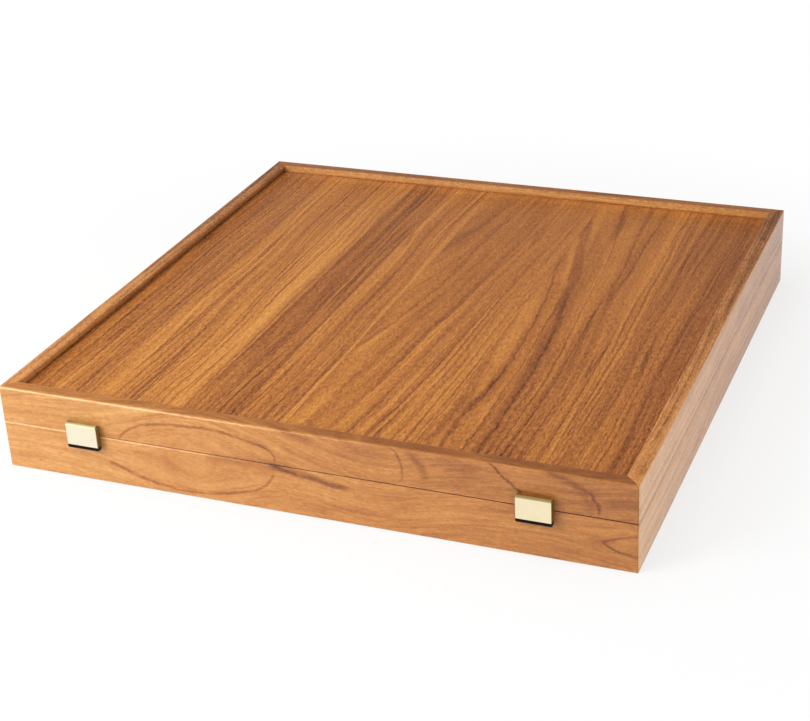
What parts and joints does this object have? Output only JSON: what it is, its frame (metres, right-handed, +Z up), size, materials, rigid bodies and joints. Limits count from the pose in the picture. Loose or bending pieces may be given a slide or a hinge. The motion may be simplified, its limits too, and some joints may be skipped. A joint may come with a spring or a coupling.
{
  "type": "chess case",
  "caption": "Flat square wooden game case with a hinged framed lid, brass front clasps, stop hinges and a lift-out chess board over lined compartments.",
  "frame": {"origin": "middle of the case's footprint, on the surface that it stands on", "axes": "+X to the right along the clasp side, +Y from the clasp side to the hinge side, +Z up"},
  "size_m": [0.34, 0.3487, 0.047],
  "materials": {
    "case_wall": "satin lacquered walnut-like veneer, grain along each board",
    "top_panel": "satin lacquered veneer, grain from front to back",
    "floor_panel": "satin plain veneer",
    "inner_wood": "matt, plain veneer",
    "lining": "short napped felt",
    "board_core": "plain sanded edge",
    "board_border": "satin lacquered veneer",
    "board_line": "satin lacquered inlay",
    "light_squares": "satin lacquered pale veneer",
    "dark_squares": "satin lacquered dark veneer",
    "clasp_face": "bright lacquered brass",
    "hardware": "plain brass",
    "fasteners": "plain brass",
    "spring_bronze": "plain spring bronze"
  },
  "bodies": {
    "base": {"base_back_wall": "case_wall", "base_floor_lining": "lining", "base_floor_panel": "floor_panel", "base_front_wall": "case_wall", "base_left_wall": "case_wall", "base_right_wall": "case_wall", "clasp_keeper_nails": "fasteners", "clasp_left_keeper": "hardware", "clasp_right_keeper": "hardware", "divider_cross": "inner_wood", "divider_left": "inner_wood", "divider_right": "inner_wood", "hinge_base_screws": "fasteners", "hinge_left_base_leaf": "hardware", "hinge_left_pin": "hardware", "hinge_right_base_leaf": "hardware", "hinge_right_pin": "hardware", "ledge_back": "inner_wood", "ledge_front": "inner_wood", "ledge_left": "inner_wood", "ledge_right": "inner_wood"},
    "lid": {"clasp_bracket_nails": "fasteners", "clasp_left_bracket": "hardware", "clasp_right_bracket": "hardware", "hinge_left_lid_leaf": "hardware", "hinge_lid_screws": "fasteners", "hinge_right_lid_leaf": "hardware", "lid_back_wall": "case_wall", "lid_front_wall": "case_wall", "lid_left_wall": "case_wall", "lid_lining": "lining", "lid_right_wall": "case_wall", "lid_top_panel": "top_panel"},
    "left_flap": {"clasp_left_flap": "clasp_face", "clasp_left_pin": "hardware", "clasp_left_spring": "spring_bronze"},
    "right_flap": {"clasp_right_flap": "clasp_face", "clasp_right_pin": "hardware", "clasp_right_spring": "spring_bronze"},
    "board": {"board_border_back": "board_border", "board_border_front": "board_border", "board_border_left": "board_border", "board_border_right": "board_border", "board_core": "board_core", "board_dark_squares": "dark_squares", "board_inlay_line": "board_line", "board_light_squares": "light_squares"}
  },
  "joints": [
    {"name": "lid_hinge", "type": "hinge", "parent": "base", "child": "lid", "pos_m": [0, 0.1728, 0.0268], "axis": [-1, 0, 0], "range_deg": [0, 95]},
    {"name": "left_clasp", "type": "hinge", "parent": "lid", "child": "left_flap", "pos_m": [-0.1207, -0.1722, 0.0325], "axis": [-1, 0, 0], "range_deg": [0, 105], "deforming": ["clasp_left_spring"]},
    {"name": "right_clasp", "type": "hinge", "parent": "lid", "child": "right_flap", "pos_m": [0.1207, -0.1722, 0.0325], "axis": [-1, 0, 0], "range_deg": [0, 105], "deforming": ["clasp_right_spring"]},
    {"name": "board_lift", "type": "slide", "parent": "base", "child": "board", "axis": [0, 0, 1], "range_m": [0, 0.009]}
  ]
}
